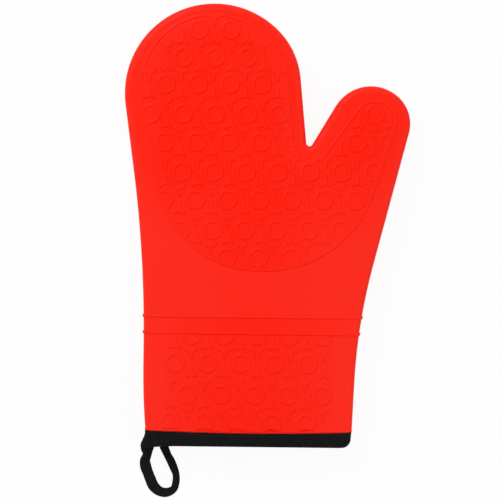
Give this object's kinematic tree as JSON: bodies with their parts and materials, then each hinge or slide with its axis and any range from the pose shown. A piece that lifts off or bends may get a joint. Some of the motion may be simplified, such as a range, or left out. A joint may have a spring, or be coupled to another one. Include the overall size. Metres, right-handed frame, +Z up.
{
  "type": "heat resistant oven mitt",
  "caption": "Heat resistant silicone oven mitt with one thumb, embossed grip, quilted cotton liner, bound cuff and a tape hanging loop that swings at the hem.",
  "frame": {"origin": "on the resting plane, straight under the middle of the cuff's hem", "axes": "+X across the cuff towards the thumb, +Y from the hem to the finger tip, +Z up out of the palm face; the mitt lies flat on its back face"},
  "size_m": [0.2136, 0.3703, 0.0256],
  "materials": {
    "silicone": "satin moulded silicone",
    "wadding": "polyester wadding",
    "lining_cotton": "quilted plain-weave cotton",
    "binding_tape": "black woven binding tape"
  },
  "bodies": {
    "mitt": {"silicone_shell": "silicone", "palm_batting": "wadding", "palm_lining": "lining_cotton", "back_batting": "wadding", "back_lining": "lining_cotton", "cuff_binding": "binding_tape", "loop_tail": "binding_tape"},
    "loop": {"hanging_loop": "binding_tape"}
  },
  "joints": [
    {"name": "loop_swing", "type": "hinge", "parent": "mitt", "child": "loop", "pos_m": [-0.0692, -0.0013, 0.001], "axis": [1, 0, 0], "range_deg": [-90, 90]}
  ]
}
